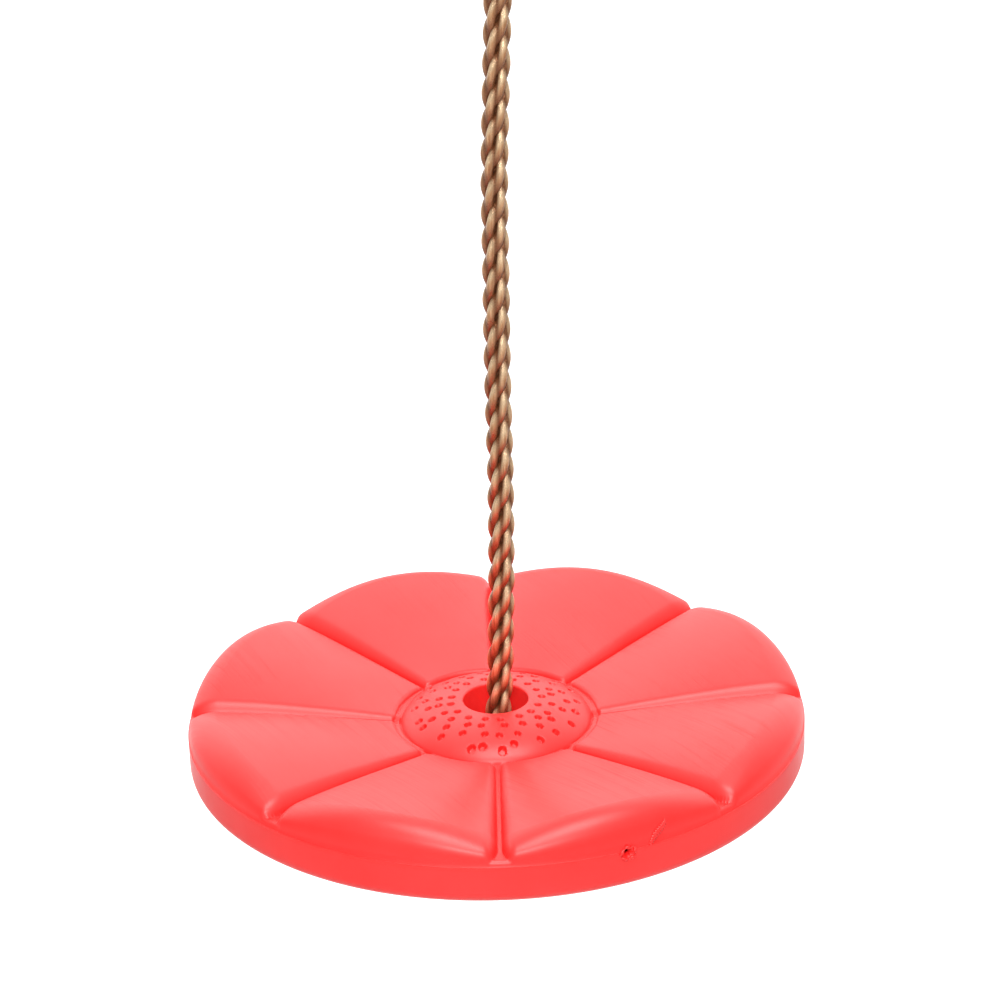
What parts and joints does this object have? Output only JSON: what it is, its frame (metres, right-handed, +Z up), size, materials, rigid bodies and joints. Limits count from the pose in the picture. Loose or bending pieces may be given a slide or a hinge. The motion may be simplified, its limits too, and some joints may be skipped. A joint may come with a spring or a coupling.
{
  "type": "disc swing",
  "caption": "Flower-shaped hollow plastic disc seat threaded on one twisted rope, held by a knot and washer below and hung from a thimble eye, ring and snap hook above.",
  "frame": {"origin": "the hanging point, on the inside of the snap hook's top bend, where the frame's eye carries it", "axes": "+Z up along the hanging line, +X towards the snap hook's gate, +Y across the hook's flat, away from the view in which the gate is on the right"},
  "size_m": [0.28, 0.28, 0.6356],
  "materials": {
    "seat_plastic": "coral red blow-moulded polyethylene, satin gloss, with fine oblique scratches on the petals",
    "rope_fibre": "golden tan twisted polypropylene rope with a silky sheen and dark grooves between its strands",
    "zinc_steel": "bright zinc-plated steel, slightly mottled",
    "spring_steel": "plain drawn steel wire",
    "black_nylon": "matt black moulded nylon"
  },
  "bodies": {
    "hook": {"hook_body": "zinc_steel", "gate_rivet": "zinc_steel"},
    "gate": {"hook_gate": "zinc_steel", "gate_spring": "spring_steel", "gate_plunger": "spring_steel"},
    "ring": {"hanging_ring": "zinc_steel"},
    "rope_line": {"rope": "rope_fibre", "thimble": "zinc_steel", "rope_adjuster": "black_nylon", "eye_knot": "rope_fibre", "rope_tail_upper": "rope_fibre", "stopper_knot": "rope_fibre", "rope_tail_lower": "rope_fibre"},
    "washer": {"knot_washer": "zinc_steel"},
    "seat": {"seat_disc": "seat_plastic"}
  },
  "joints": [
    {"name": "gate_hinge", "type": "hinge", "parent": "hook", "child": "gate", "pos_m": [0.013, 0, -0.015], "axis": [0, 1, 0], "range_deg": [0, 22], "stiffness_Nm_per_rad": 0.08, "springref_deg": -20.05},
    {"name": "ring_swing", "type": "hinge", "parent": "hook", "child": "ring", "pos_m": [0, 0, -0.066], "axis": [1, 0, 0], "range_deg": [-60, 60]},
    {"name": "rope_swing", "type": "hinge", "parent": "ring", "child": "rope_line", "pos_m": [0, 0, -0.1027], "axis": [0, 1, 0], "range_deg": [-60, 60]},
    {"name": "seat_spin", "type": "hinge", "parent": "rope_line", "child": "washer", "pos_m": [0, 0, -0.579], "axis": [0, 0, 1], "continuous": true},
    {"name": "seat_lift", "type": "slide", "parent": "washer", "child": "seat", "axis": [0, 0, 1], "range_m": [0, 0.05]}
  ]
}
